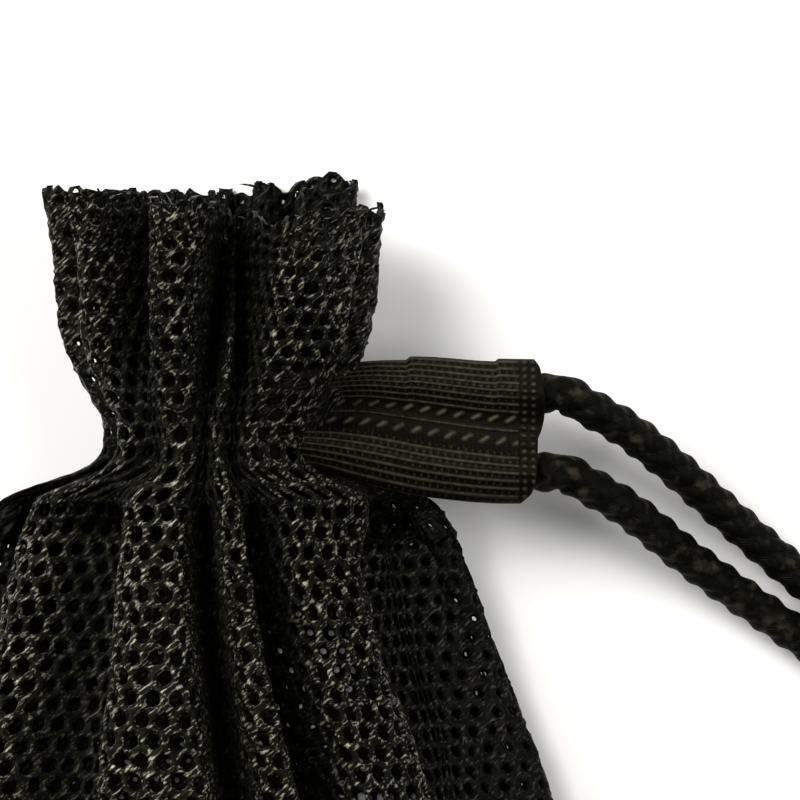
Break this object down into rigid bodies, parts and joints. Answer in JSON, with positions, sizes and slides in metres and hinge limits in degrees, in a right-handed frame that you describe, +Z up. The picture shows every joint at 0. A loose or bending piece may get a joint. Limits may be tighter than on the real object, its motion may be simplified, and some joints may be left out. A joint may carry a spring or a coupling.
{
  "type": "mesh drawstring dive gear bag, empty and drawn shut, lying on its back",
  "caption": "Knitted mesh drawstring bag with a gathered neck, a flared ruffle at the mouth, a taped casing tab and two free cord legs.",
  "frame": {"origin": "middle of the surface that the bag lies on, under the middle of the bag's length and width", "axes": "+Y out of the bag's mouth, +X to the side that the cord leaves, +Z up from the surface that it lies on"},
  "size_m": [0.2711, 0.322, 0.0618],
  "materials": {
    "knitted_mesh": "semi-gloss",
    "woven_tape": "matte",
    "braided_cord": "matte"
  },
  "bodies": {
    "root": {"mesh_ruffle": "knitted_mesh", "mesh_body": "knitted_mesh", "casing_tape": "woven_tape", "drawstring_in_casing": "braided_cord", "drawstring_leg_upper": "braided_cord", "drawstring_leg_lower": "braided_cord", "drawstring_coil": "braided_cord", "drawstring_knot": "braided_cord"}
  },
  "joints": []
}
